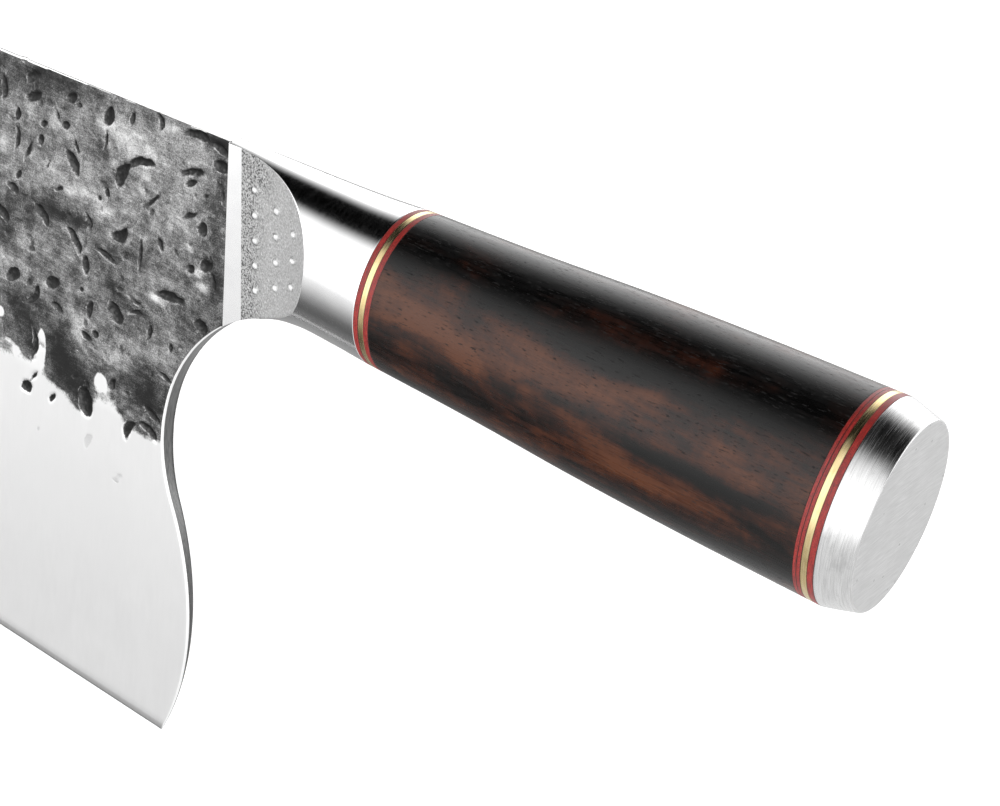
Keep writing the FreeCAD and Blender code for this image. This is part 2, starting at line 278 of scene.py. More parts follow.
def forged_and_ground_steel():
    """Blade sides: dark forge scale with hammer marks above, satin ground steel below."""
    m = Nodes("forged_and_ground_steel")
    p = m.coord()
    mark, shade, cut = m.attribute("mark"), m.attribute("shade"), m.attribute("cut")

    # forge scale: broad clouds and patches, mottling, faint streaks along the blade
    fine = m.noise(p, 2.6, 3.0, 0.65)
    parts = (
        (m.noise(p, 0.085, 4.0, 0.6, 0.4), 0.42),
        (m.noise(m.coord(scale=(0.12, 0.12, 0.2)), 1.0, 3.0, 0.5, 1.2), 0.34),
        (m.noise(p, 0.55, 4.0, 0.6, 0.6), 0.42),
        (m.noise(m.coord(scale=(0.35, 1.0, 3.2), turn=(0, 9, 0)), 1.0, 4.0, 0.6, 0.25), 0.22),
        (fine, 0.36),
        (m.noise(p, 5.2, 2.0, 0.6), 0.34),
    )
    tone = m.plus(m.attribute("tone"), 0.5)
    for value, amount in parts:
        tone = m.plus(tone, m.times(m.less(value, 0.5), amount))
    scale = m.ramp(tone, (0.24, 0.016), (0.36, 0.046), (0.44, 0.105), (0.50, 0.18), (0.58, 0.31),
                   (0.68, 0.55), (0.80, 0.80))

    # hammer marks: blackened floor with painted shade, darkest towards the upper right, and a painted
    # highlight on the lip along the lower left
    wobble = m.times(m.less(m.noise(p, 2.4, 3.0, 0.6), 0.5), 0.34)
    edge = m.plus(mark, wobble)
    inside = m.times(m.remap(edge, -0.14, 0.16), m.remap(cut, 0.0, 0.9, 0.05, 1.0, "LINEAR"))
    # painted highlight: a bright lip only on the lower-left side of each mark
    lip_highlight = m.times(m.remap(edge, -0.34, -0.16), m.remap(edge, -0.02, -0.12))
    lip_highlight = m.times(lip_highlight, m.remap(shade, 0.05, -0.75, 0.0, 1.0))
    lip_highlight = m.times(lip_highlight, m.remap(m.noise(p, 0.8, 2.0), 0.42, 0.66, 0.0, 0.5))
    scale = m.mix(m.times(lip_highlight, cut), scale, 0.72)
    # painted shade: the floor darkens towards the upper right of each mark and lightens towards the lower
    # left
    depth = m.plus(m.times(shade, 0.42), m.noise(p, 1.5, 3.0))
    floor = m.ramp(depth, (0.05, 0.09), (0.40, 0.022), (0.75, 0.005))
    scale = m.mix(inside, scale, floor)

    # ground steel
    brush = m.noise(m.coord(scale=(2.6, 1.0, 0.22)), 1.0, 4.0, 0.6)
    haze = m.noise(p, 0.06, 3.0)
    bright = m.mix(m.remap(haze, 0.35, 0.7, 0.0, 0.5), m.ramp(brush, (0.3, 0.985), (0.7, 1.0)), 0.97)
    ragged = m.times(m.less(m.noise(p, 1.3, 4.0, 0.65), 0.5), 2.6)
    bare = m.remap(m.plus(m.attribute("ground"), ragged), -0.75, 0.9)
    bare = m.times(bare, m.less(1.0, inside))
    m.set(Base_Color=m.mix(bare, scale, bright))
    m.set(Metallic=m.plus(0.74, m.times(bare, 0.26)))
    sharpened = m.remap(m.axis(p, 2), BEVEL_Z + 0.1, BEVEL_Z - 0.1, 0.0, 0.06)
    rough_bare = m.less(m.remap(brush, 0.3, 0.7, 0.41, 0.44), sharpened)
    rough = m.plus(m.times(m.remap(fine, 0.3, 0.7, 0.36, 0.56), m.less(1.0, bare)),
                   m.times(rough_bare, bare))
    m.set(Roughness=rough)
    n = m.bump(m.times(fine, m.less(1.0, bare)), 0.35, 0.05)
    n = m.bump(m.times(inside, -1.0), 0.35, 0.2, n)
    m.set(Normal=m.bump(brush, 0.015, 0.02, n))
    return m.mat


def ground_rim_steel():
    """Edges of the plate: ground lengthwise, satin grey with painted shade, darker towards the bottom and
    darkest along the far edge; the spine has a painted highlight, far brighter than the other edges.
    """
    m = Nodes("ground_rim_steel")
    p = m.coord()
    x, y, z = (m.axis(p, k) for k in range(3))
    lines = m.noise(m.coord(scale=(3.0, 6.0, 0.35)), 1.0, 4.0, 0.6)
    spots = m.noise(p, 1.4, 3.0)
    grey = m.mix(m.remap(spots, 0.55, 0.75, 0.0, 0.3), m.ramp(lines, (0.3, 0.10), (0.7, 0.21)), 0.07)
    # darker towards the bottom
    grey = m.mix(m.remap(z, -52.0, -98.0, 0.0, 0.6), grey, 0.06)
    # painted shade: the far side of each edge darkens nearly to black
    half = m.remap(z, BEVEL_Z, GRIND_Z, HALF_BEVEL, HALF_BLADE, "LINEAR")
    across = m.math("DIVIDE", y, half)
    grey = m.mix(m.remap(across, 0.30, 0.75, 0.0, 0.9), grey, 0.025)
    # painted highlight: the spine is far brighter than the other edges of the same steel, dimmer towards
    # its far side
    bright = m.mix(m.remap(across, 0.70, 0.95, 0.0, 0.25), m.ramp(lines, (0.3, 0.88), (0.7, 0.96)), 0.4)
    over = m.less(z, m.plus(m.times(x, SPINE_SLOPE), SPINE_Z))
    m.set(Base_Color=m.mix(m.remap(over, -1.2, -0.5), grey, bright))
    m.set(Metallic=1.0, Roughness=m.remap(lines, 0.3, 0.7, 0.30, 0.42))
    m.set(Normal=m.bump(lines, 0.2, 0.03))
    return m.mat


def polished_steel():
    """Bolster: near-mirror polish with faint lines round the oval."""
    m = Nodes("polished_steel_bolster")
    lines = m.noise(m.coord(scale=(5.0, 0.7, 0.7)), 1.0, 5.0, 0.65)
    haze = m.noise(m.coord(), 0.25, 3.0)
    m.set(Base_Color=m.ramp(haze, (0.3, (0.88, 0.88, 0.885)), (0.7, 0.93)))
    m.set(Metallic=1.0, Roughness=m.remap(lines, 0.3, 0.7, 0.09, 0.18))
    m.set(Normal=m.bump(lines, 0.07, 0.015))
    return m.mat


def blasted_steel():
    """Pads of the bolster: bead-blasted, coarser and darker along the front and the top."""
    m = Nodes("blasted_steel_pad")
    p = m.coord()
    x, z = m.axis(p, 0), m.axis(p, 2)
    grain = m.noise(p, 3.0, 4.0, 0.75)
    pits = m.voronoi(p, 1.9)
    behind = m.plus(x, m.times(z, PAD_LEAN))
    front = m.remap(behind, PAD_X + 8.0, PAD_X + 0.8)
    top = m.times(m.remap(z, 3.0, 9.0), m.remap(behind, PAD_X + 11.0, PAD_X + 4.0))
    near_front_and_top = m.math("MAXIMUM", front, top)
    dark = m.times(m.remap(m.noise(p, 2.9, 3.0, 0.7), 0.49, 0.58), m.times(near_front_and_top, 0.95))
    base = m.ramp(grain, (0.32, 0.30), (0.5, 0.53), (0.68, 0.80))
    # the dot attribute holds a painted highlight on each dot's top and a painted shadow beside its foot
    tone = m.attribute("dot")
    with_dot_shadow = m.mix(m.remap(tone, 0.0, -1.0, 0.0, 0.85), m.mix(dark, base, 0.07), 0.06)
    m.set(Base_Color=m.mix(m.remap(tone, 0.1, 0.9, 0.0, 0.9), with_dot_shadow, 0.97))
    m.set(Metallic=0.9, Roughness=m.remap(grain, 0.3, 0.7, 0.42, 0.58))
    n = m.bump(grain, 1.0, 0.14)
    m.set(Normal=m.bump(pits, 0.15, 0.05, n))
    return m.mat


def cap_steel():
    """End cap: satin, turned round its axis."""
    m = Nodes("satin_steel_cap")
    lines = m.noise(m.coord(scale=(7.0, 0.25, 0.25)), 1.0, 4.0, 0.6)
    stain = m.noise(m.coord(scale=(1.0, 0.5, 0.5)), 0.5, 4.0, 0.65)
    turned = m.ramp(lines, (0.3, 0.50), (0.7, 0.74))
    m.set(Base_Color=m.mix(m.remap(stain, 0.5, 0.72, 0.0, 0.4), turned, 0.36))
    m.set(Metallic=1.0, Roughness=m.remap(lines, 0.3, 0.7, 0.17, 0.30))
    m.set(Normal=m.bump(lines, 0.22, 0.03))
    return m.mat


def cap_face_steel():
    """Flat end of the cap: fine straight sanding lines and a few pits."""
    m = Nodes("sanded_steel_end")
    lines = m.noise(m.coord(scale=(1.0, 0.30, 5.0), turn=(38, 0, 0)), 1.0, 4.0, 0.65)
    cloud = m.noise(m.coord(), 0.16, 3.0)
    pits = m.remap(m.voronoi(m.coord(), 0.42), 0.05, 0.10, 1.0, 0.0)
    base = m.mix(m.times(pits, 0.6), m.ramp(lines, (0.3, 0.50), (0.7, 0.70)), 0.15)
    m.set(Base_Color=m.mix(m.remap(cloud, 0.4, 0.7, 0.0, 0.25), base, 0.50))
    m.set(Metallic=1.0, Roughness=m.remap(lines, 0.3, 0.7, 0.38, 0.5))
    m.set(Normal=m.bump(lines, 0.15, 0.03))
    return m.mat


def red_fibre():
    """Red vulcanised fibre: dense, slightly flecked, sanded smooth, with painted shade at each joint."""
    m = Nodes("red_fibre")
    p = m.coord()
    fleck = m.noise(p, 4.5, 3.0, 0.7)
    layers = m.noise(m.coord(scale=(9.0, 0.6, 0.6)), 1.0, 3.0)
    tone = m.plus(m.times(fleck, 0.5), m.times(layers, 0.5))
    dark, middle, light = (0.10, 0.006, 0.006), (0.26, 0.016, 0.013), (0.42, 0.032, 0.022)
    red = m.ramp(tone, (0.36, dark), (0.5, middle), (0.64, light))
    # painted shade at each joint, where the sheet meets the next part
    m.set(Base_Color=m.mix(m.times(m.attribute("joint_shade"), 0.8), red, (0.03, 0.008, 0.006)))
    m.set(Roughness=m.remap(fleck, 0.3, 0.7, 0.34, 0.5))
    m.set(Normal=m.bump(tone, 0.1, 0.02))
    return m.mat


def brass():
    """Brass sheet, sanded with the handle."""
    m = Nodes("sanded_brass")
    p = m.coord()
    lines = m.noise(m.coord(scale=(5.0, 0.4, 0.4)), 1.0, 4.0, 0.6)
    tarnish = m.noise(p, 0.35, 3.0)
    base = m.ramp(lines, (0.3, (0.66, 0.50, 0.24)), (0.7, (0.82, 0.68, 0.40)))
    base = m.mix(m.remap(tarnish, 0.5, 0.75, 0.0, 0.35), base, (0.40, 0.28, 0.12))
    # painted shade at each joint, where the sheet meets the next part
    m.set(Base_Color=m.mix(m.times(m.attribute("joint_shade"), 0.5), base, (0.10, 0.06, 0.02)))
    m.set(Metallic=1.0, Roughness=m.remap(lines, 0.3, 0.7, 0.2, 0.3))
    m.set(Normal=m.bump(lines, 0.12, 0.02))
    return m.mat


def grip_wood():
    """Dark figured rosewood: smoky black veins on red-brown, open pores, oiled."""
    m = Nodes("dark_rosewood")
    broad = m.coord(scale=(0.045, 0.12, 0.14), turn=(0, 26, 0), shift=(0.6, 0.0, 0.35))
    vein = m.noise(broad, 1.0, 4.0, 0.55, 1.1)
    fibre = m.noise(m.coord(scale=(0.16, 1.7, 1.7), turn=(0, 12, 0)), 1.0, 5.0, 0.6, 0.3)
    figure = m.noise(m.coord(scale=(0.9, 0.35, 0.35)), 1.0, 3.0, 0.5, 0.4)
    cloud = m.noise(m.coord(scale=(0.30, 1.0, 1.0), turn=(0, 14, 0)), 0.22, 3.0, 0.5, 0.5)
    tone = m.plus(m.attribute("vein"), 0.5)
    for value, amount in ((vein, 0.62), (fibre, 0.20), (cloud, 0.30), (figure, 0.12)):
        tone = m.plus(tone, m.times(m.less(value, 0.5), amount))
    wood = m.ramp(
        tone,
        (0.34, (0.0012, 0.0011, 0.0011)), (0.42, (0.005, 0.0022, 0.0016)), (0.49, (0.019, 0.0055, 0.0030)),
        (0.56, (0.046, 0.0125, 0.0042)), (0.66, (0.086, 0.027, 0.0100)))
    pore = m.noise(m.coord(scale=(0.75, 5.0, 5.0), turn=(0, 12, 0)), 1.0, 2.0, 0.5)
    pores = m.remap(pore, 0.635, 0.675)
    m.set(Base_Color=m.mix(m.times(pores, 0.9), wood, (0.003, 0.002, 0.002)))
    m.set(Roughness=m.plus(m.remap(fibre, 0.3, 0.7, 0.24, 0.33), m.times(pores, 0.35)))
    m.set(Specular_IOR_Level=0.36)
    n = m.bump(m.times(pores, -1.0), 0.22, 0.05)
    m.set(Normal=m.bump(fibre, 0.10, 0.03, n))
    return m.mat


def tang_steel():
    """Tang inside the handle: milled, unpolished."""
    m = Nodes("milled_steel_tang")
    lines = m.noise(m.coord(scale=(0.4, 3.0, 3.0)), 1.0, 4.0)
    m.set(Base_Color=m.ramp(lines, (0.3, 0.28), (0.7, 0.5)), Metallic=1.0)
    m.set(Roughness=m.remap(lines, 0.3, 0.7, 0.4, 0.55))
    m.set(Normal=m.bump(lines, 0.2, 0.03))
    return m.mat


def cured_epoxy():
    """Glue round the tang: clouded amber."""
    m = Nodes("cured_epoxy")
    cloud = m.noise(m.coord(), 0.5, 4.0, 0.6)
    m.set(Base_Color=m.ramp(cloud, (0.3, (0.42, 0.34, 0.18)), (0.7, (0.62, 0.54, 0.34))))
    m.set(Roughness=m.remap(cloud, 0.3, 0.7, 0.2, 0.4))
    m.set(Normal=m.bump(cloud, 0.1, 0.05))
    return m.mat


# ---------------------------------------------------------------------------------------------------
# Mesh helpers
# ---------------------------------------------------------------------------------------------------
def piece(name, verts, faces, node, materials, face_material):
    """New object from vertices in millimetres. It stands for a CAD node and rides the root."""
    mesh = bpy.data.meshes.new(name)
    mesh.from_pydata([at(*v) for v in verts], [], faces)
    for mat in materials:
        mesh.materials.append(mat)
    mesh.polygons.foreach_set("use_smooth", [True] * len(faces))
    mesh.polygons.foreach_set("material_index", face_material)
    mesh.update()
    obj = bpy.data.objects.new(name, mesh)
    bpy.context.scene.collection.objects.link(obj)
    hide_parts(node)
    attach(obj, "root")
    return obj


def clean(obj):
    """Merges coincident corners and points every face outward."""
    bm = bmesh.new()
    bm.from_mesh(obj.data)
    bmesh.ops.remove_doubles(bm, verts=bm.verts, dist=1e-7)
    bmesh.ops.dissolve_degenerate(bm, dist=1e-8, edges=bm.edges)
    bmesh.ops.recalc_face_normals(bm, faces=bm.faces)
    bm.to_mesh(obj.data)
    bm.free()
    obj.data.update()


def spread(a, b, step):
    """Numbers from a to b, about step apart, both ends included."""
    n = max(1, round(abs(b - a) / step))
    return [a + (b - a) * i / n for i in range(n + 1)]


# ---------------------------------------------------------------------------------------------------
# Blade
# ---------------------------------------------------------------------------------------------------
# Large hammer marks near the handle: X, Z, length, width, angle from +X, bend, all in millimetres and
# degrees. A positive bend bows the mark towards the left of its direction.
MARKS = [
    (-57.9, -2.4, 5.2, 2.1, 65, .9), (-54.2, .7, 6.4, 1.5, 22, .9), (-61.5, -6.7, 1.7, 1.1, 100, 0),
    (-63.2, -8.3, 1.3, .8, 0, 0), (-62.4, 6.6, 3.6, 2, 68, 0), (-62.9, 2.2, 3.6, .7, 88, -.3),
    (-72.3, 1.6, 1.7, 1.3, 0, 0), (-74.4, 2.6, 2.4, .5, -58, .2), (-77.5, .2, 1.7, 1.2, 20, 0),
    (-78, -3.1, 1.9, 1.4, 80, 0), (-83.9, -.4, 2.4, 1.3, 75, 0), (-84.1, -4.6, 4.2, 1, 92, -.6),
    (-80.8, -5.9, 3.6, .8, 65, 0), (-75.8, -6.7, 2.1, .5, 65, 0), (-70.1, -4.5, 4.4, 2.1, -50, .4),
    (-69.4, -1.1, 2.4, .8, -65, 0), (-80.4, 7.3, 3.8, 1.5, 32, .3), (-80.2, 4.2, 4, 1.5, 28, -.2),
    (-87.8, 3.2, 4.4, 1.3, 95, -.4), (-71.2, 6.9, 2.3, 1.4, 30, 0), (-69.4, 6.2, 1.2, .9, 0, 0),
    (-57, 8.2, 2.6, 1.1, 80, 0), (-51.2, 9.6, 3, 1.1, 100, -.6), (-42.6, 9.8, 5.6, 1.5, 6, .7),
    (-37.5, 9.6, 3.4, 1.4, -12, .2), (-37.1, 6.9, 3.2, 1.9, 0, 0), (-43, 3.6, 5.4, 1.2, 20, .25),
    (-43.1, 1.8, 2.6, 1.1, 32, 0), (-39.7, .8, 1.5, .6, 15, 0), (-36.3, 2.7, 2.8, .6, -75, 0),
    (-51.3, -4.1, 4.6, .7, 46, -.3), (-42.6, -3.8, 3.4, .9, 33, .2), (-39.7, -5, 2.4, 1.7, 80, 0),
    (-58.2, -12.6, 4.2, 2.1, 32, -.9), (-68.6, -18.2, 5.2, 1.6, -50, .5),
    (-76.6, -16.5, 4.4, 1.7, -40, .3), (-84.1, -14.4, 3, 1.4, -20, .4), (-83, -11.2, 1.9, 1.3, 60, 0),
    (-72.9, -10.2, 1.9, .9, 30, 0), (-65.5, -13.5, 3, 1, -60, .4), (-82.9, 9.7, 1.6, 1.2, 0, 0),
    (-41.5, -12.8, 1.9, 1.5, 10, 0), (-38.2, -11, 3, 1.9, 40, 0), (-45.4, -19.8, 6.4, 1.6, 8, .3),
    (-38, -22.3, 3, 2.1, -20, .3), (-57.4, -27.5, 4.2, 2.5, -45, 0), (-52.4, -26, 3.4, .9, 5, .7),
    (-49.6, -27.6, 3.6, .9, 88, -.5), (-52.5, -23.8, 3.4, .6, -12, 0), (-52.7, -14.9, 6.2, .9, 92, .3),
    (-48.5, -11.2, 2.2, 1.1, -60, 0), (-36.3, -13.3, 3, 1.1, -70, 0), (-65.4, -21.6, 3.2, 1.5, -80, 0),
    (-60.7, -18.1, 5, 1.1, -12, .2), (-73.1, -28.1, 3.4, 2.1, 30, 0), (-77.9, -32.1, 5, 1.4, 62, -.9),
    (-63.5, -29.5, 3.4, 1.3, 80, .2), (-66, -26.6, 1.2, 1, 0, 0), (-71.5, -32.5, 3.2, 1.2, -20, .3),
    (-64, -34.8, 2.4, 1.2, -10, 0), (-61.8, -33.5, 1.7, 1.3, 0, 0), (-44.2, -28.6, 1.8, .9, 90, 0),
    (-78, -51, 2.8, 2.2, 30, 0), (-76.3, -48.2, 3, .7, 55, 0), (-71.3, -50.4, 2.3, 1, 60, 0),
    (-63, -47.6, 5.4, 3.2, -75, 0), (-51.6, -48.3, 4.6, 1.7, 62, .9), (-47.6, -46.6, 4.8, 1.5, -20, .6),
    (-46.8, -43.1, 3.8, 1.1, -22, .2), (-44.9, -34.5, 3.8, .8, -15, 0), (-56.9, -41.2, 2.6, 1.3, 70, 0),
    (-83, -30.5, 4, 2.2, 40, 0), (-77, -41.8, 5.4, 1.3, 88, -.7), (-86.5, -20, 4, 1.8, -30, .4),
]
# Faint dents left in the ground steel: X, Z, length, width, angle, bend
DENTS = [
    (-61.8, -55.1, 3.4, 1.5, 70, .2), (-54.3, -58.9, 3, 1.6, 30, -.3), (-74.6, -58.3, 1.3, .7, 70, 0),
]
# Where the grind begins on the near side: X, Z
GRIND_BORDER = [
    (-96.0, -46.0), (-90.0, -46.0), (-85.3, -46.4), (-79.9, -46.0), (-75.6, -45.2), (-71.1, -47.2),
    (-65.0, -48.4), (-61.4, -46.2), (-56.2, -44.9), (-53.0, -47.0), (-48.5, -47.2), (-43.0, -46.4),
]
# Islands where the grind came early (positive) or late: X, Z, radius along X and Z, amount in millimetres
ISLANDS = [
    (-74.9, -40.4, 1.25, 3.8, 11), (-65.8, -38.4, 1.4, .9, 11), (-59.8, -41.7, 1.8, 1.9, 9),
    (-85.6, -38.6, 1.7, 1.9, 11), (-83.2, -43.6, 1.6, 1, 3.5), (-80.9, -44.6, 1.2, 1.1, 3),
    (-75.4, -43.5, 1.2, 1.6, 5), (-77.6, -42.6, 1.3, 2.2, -3), (-70.5, -46.5, 3, 2, -1.2),
    (-63.6, -47.3, 1.9, 3, -4), (-49.2, -45.5, 4.2, 2.4, -1.6), (-88.8, -41, 1.2, 2.6, 8),
]
# Lighter (positive) and darker patches of scale on the near side: X, Z, radius along X and Z, amount
PATCHES = [
    (-61, 5, 5, 4, .10), (-54, 4.5, 7, 5, .12), (-48.5, 10, 3.2, 2, .12), (-47, -2.5, 6, 4, .07),
    (-74, -8, 7, 3, .11), (-66, -7, 5, 3, .08), (-62, -9.5, 2.5, 1.6, .12), (-82, -13, 3, 2, .07),
    (-80, -22.5, 4, 3, .11), (-72, -25, 3, 2, .07), (-74.5, -29, 2.4, 1.2, .12),
    (-40, -12.7, 1.5, 1, .22), (-38, -14.8, 1.5, 1, .22), (-42.3, -9.4, 1.5, .9, .20),
    (-54, -19, 6, 3, .07), (-48.8, -21.2, 1.6, .8, .24), (-66.2, -34, 1.6, 2.6, .16),
    (-64.7, -32, 1.6, 1, .16), (-50, -31.6, 5, 2, .12), (-56, -36, 3, 1.5, .06),
    (-60.5, -34, 2, 1.2, .08), (-69.5, -22, 2, 1.2, .10), (-42, 2, 5, 2.5, .06), (-86, -6, 4, 3, .06),
    (-80, 8, 7, 4, -.13), (-88, 7, 5, 5, -.12), (-72, 9.5, 5, 2.5, -.12), (-65, 9.3, 4, 1.6, -.09),
    (-73, -14.5, 4, 1.5, -.19), (-67.5, -14.2, 3, 1.5, -.19), (-80.5, -16, 3, 2, -.10),
    (-57.5, -15.7, 4, 1.1, -.11), (-62, -19.5, 3, 2, -.08), (-59, -24, 3.4, 2.2, -.12),
    (-70, -40, 3.6, 5, -.26), (-67.5, -43, 4, 4, -.20), (-64, -45.5, 2.2, 3, -.24),
    (-83, -34, 3.4, 3, -.12), (-80, -37.5, 3, 2.4, -.12), (-77.6, -41, 1.6, 3, -.16),
    (-49.5, -40.2, 4.8, 4.4, -.22), (-46, -42, 3, 3.4, -.12), (-36.6, .0, 1.7, 10, -.10),
    (-35.4, -14, 1.9, 5, -.10), (-38.3, 10.8, 3.8, 1.3, -.24), (-43, -22, 2.4, 2, -.05),
    (-50, -26, 3, 2, -.05), (-65, -29, 3, 2, -.12), (-85.5, -21.5, 2.6, 3, -.16),
    (-76, -33.5, 2.6, 1.8, -.08), (-45, -28, 5, 3, -.05), (-90, -25, 3, 8, -.07),
]
PATCHED_X = -96.0             # the listed patches and the border belong behind this
RANDOM_MARK_AREA = 24.0       # one random mark for this many square millimetres
SMALL_POCKS = 90              # small shallow pocks among the listed marks
KEEP_CLEAR_X = -90.0          # behind this, on the near side, listed marks take the place of random ones


def seam_x(z):
    return SEAM_X - SEAM_LEAN * z


def throat_ceiling(x):
    """Height of the finger throat's arc above its middle."""
    return THROAT_Z + math.sqrt(max(0.0, THROAT_R ** 2 - (x - THROAT_X) ** 2))


def heel_and_throat_x(z):
    """Right-hand outline of the blade at height z, below the seam: throat, then heel."""
    touch = math.atan2(THROAT_Z - HEEL_Z, THROAT_X - HEEL_X)
    if z < HEEL_Z + HEEL_R * math.sin(touch):
        return HEEL_X + math.sqrt(max(0.0, HEEL_R ** 2 - (z - HEEL_Z) ** 2))
    return THROAT_X - math.sqrt(max(0.0, THROAT_R ** 2 - (z - THROAT_Z) ** 2))


def seam_bottom_z():
    """Height where the seam meets the throat's arc, by repeated substitution."""
    z = -19.0
    for _ in range(20):
        z = throat_ceiling(seam_x(z))
    return z


SEAM_Z = seam_bottom_z()


def spine_z(x):
    return SPINE_Z + SPINE_SLOPE * x


def right_x(z):
    return seam_x(z) if z >= SEAM_Z else heel_and_throat_x(z)


def nose():
    """Centre of the nose arc, and its touching points on the spine and the front end."""
    top = Vector((TOE_X + TOE_RAKE, spine_z(TOE_X + TOE_RAKE)))
    along = (Vector((SEAM_X, spine_z(SEAM_X))) - top).normalized()
    down = (Vector((TOE_X, EDGE_Z)) - top).normalized()
    half = along.angle(down) / 2
    way = (along + down).normalized()
    return (top + way * (NOSE_RADIUS / math.sin(half)), top + along * (NOSE_RADIUS / math.tan(half)),
            top + down * (NOSE_RADIUS / math.tan(half)))


NOSE_CENTRE, NOSE_TOP, NOSE_FRONT = nose()


def left_x(z):
    """Front end of the blade at height z."""
    if z <= NOSE_FRONT.y:
        return TOE_X + TOE_RAKE * (z - EDGE_Z) / (spine_z(TOE_X + TOE_RAKE) - EDGE_Z)
    return NOSE_CENTRE.x - math.sqrt(max(0.0, NOSE_RADIUS ** 2 - (z - NOSE_CENTRE.y) ** 2))


def mark_depth(marks, x, z):
    """How far a point is inside the nearest hammer mark in millimetres (negative outside), which side of it
    the point is on (+1 towards the upper right; this sets the painted shade on the mark's floor and the
    painted highlight on its lip), and how deep that mark is cut (0 to 1)."""
    best, shade, force = -1.0, 0.0, 1.0
    for mx, mz, length, width, angle, bend, cut, reach in marks:
        dx, dz = x - mx, z - mz
        if dx * dx + dz * dz > reach:
            continue
        c, s = math.cos(angle), math.sin(angle)
        u, v = dx * c + dz * s, -dx * s + dz * c
        a, b = length / 2, width / 2
        v -= bend * (1 - (u / a) ** 2)
        r = math.sqrt((u / a) ** 2 + (v / b) ** 2)
        depth = (1 - r) * b * (1.0 if r < 1 else 1.3)
        if depth > best:
            gx, gz = u / a ** 2 * c - v / b ** 2 * s, u / a ** 2 * s + v / b ** 2 * c
            size = math.hypot(gx, gz) + 1e-9
            best, shade, force = depth, (0.8 * gx + 0.45 * gz) / size * min(r, 1.1), cut
    return best, shade, force


def blobs(table, x, z):
    """Sum of soft round amounts from a table of (X, Z, radius along X, radius along Z, amount)."""
    total = 0.0
    for bx, bz, rx, rz, amount in table:
        q = ((x - bx) / rx) ** 2 + ((z - bz) / rz) ** 2
        if q < 5:
            total += amount * math.exp(-q * 1.1)
    return total


def cells(marks):
    """Marks sorted into square cells, for a quick search."""
    table = {}
    for mark in marks:
        x, z, reach = mark[0], mark[1], math.sqrt(mark[7])
        for i in range(math.floor((x - reach) / CELL), math.floor((x + reach) / CELL) + 1):
            for j in range(math.floor((z - reach) / CELL), math.floor((z + reach) / CELL) + 1):
                table.setdefault((i, j), []).append(mark)
    return table


def make_marks(seed, listed):
    """Hammer marks of one side of the blade: X, Z, length, width, angle, bend, cut, squared reach."""
    rng = random.Random(seed)
    rows = []
    if listed:
        rows += [(x, z, l * 1.08, w * 1.12, math.radians(a), b, 1.0) for x, z, l, w, a, b in MARKS]
        rows += [(x, z, l, w, math.radians(a), b, 0.16) for x, z, l, w, a, b in DENTS]
        for _ in range(SMALL_POCKS):
            x = rng.uniform(KEEP_CLEAR_X, SEAM_X - 2)
            z = rng.uniform(GRIND_Z + 2, spine_z(x) - 1.2)
            length = rng.uniform(0.7, 1.9)
            width = length * rng.uniform(0.35, 0.8)
            row = (x, z, length, width, rng.uniform(0, math.pi), 0.0, rng.uniform(0.25, 0.7))
            if x < right_x(z) - 1.5:
                rows.append(row)
    right_limit = KEEP_CLEAR_X if listed else SEAM_X - 1.5
    area = (right_limit - TOE_X) * (SPINE_Z - GRIND_Z)
    for _ in range(int(area / RANDOM_MARK_AREA)):
        x = rng.uniform(TOE_X + 2, right_limit)
        z = rng.uniform(GRIND_Z - 6, spine_z(x) - 1)
        length = rng.uniform(1.1, 3.2) * rng.uniform(1.0, 1.7)
        width = clamp(length * rng.uniform(0.22, 0.7), 0.5, 2.3)
        angle = math.radians(rng.gauss(55, 45))
        bend = rng.choice([0, 0, 0.1, -0.1, 0.22, -0.22]) * length
        if x < right_x(z) - 2.0:
            rows.append((x, z, length, width, angle, bend, rng.uniform(0.5, 1.0)))
    return [row + ((row[2] / 2 + abs(row[5]) + 1.2) ** 2,) for row in rows]


def grind_lead(side, x, z):
    """How far a point is below the line where the grind begins, in millimetres of height."""
    ragged = 2.4 * noise.noise(Vector((x * 0.17, side * 31.7, z * 0.17)))
    ragged += 1.3 * noise.noise(Vector((x * 0.5, side * 11.3, z * 0.5)))
    if side > 0 or x < PATCHED_X:
        return GRIND_Z + 1.0 - z + 1.7 * ragged
    return spline(GRIND_BORDER, x) - z + 0.55 * ragged + blobs(ISLANDS, x, z)


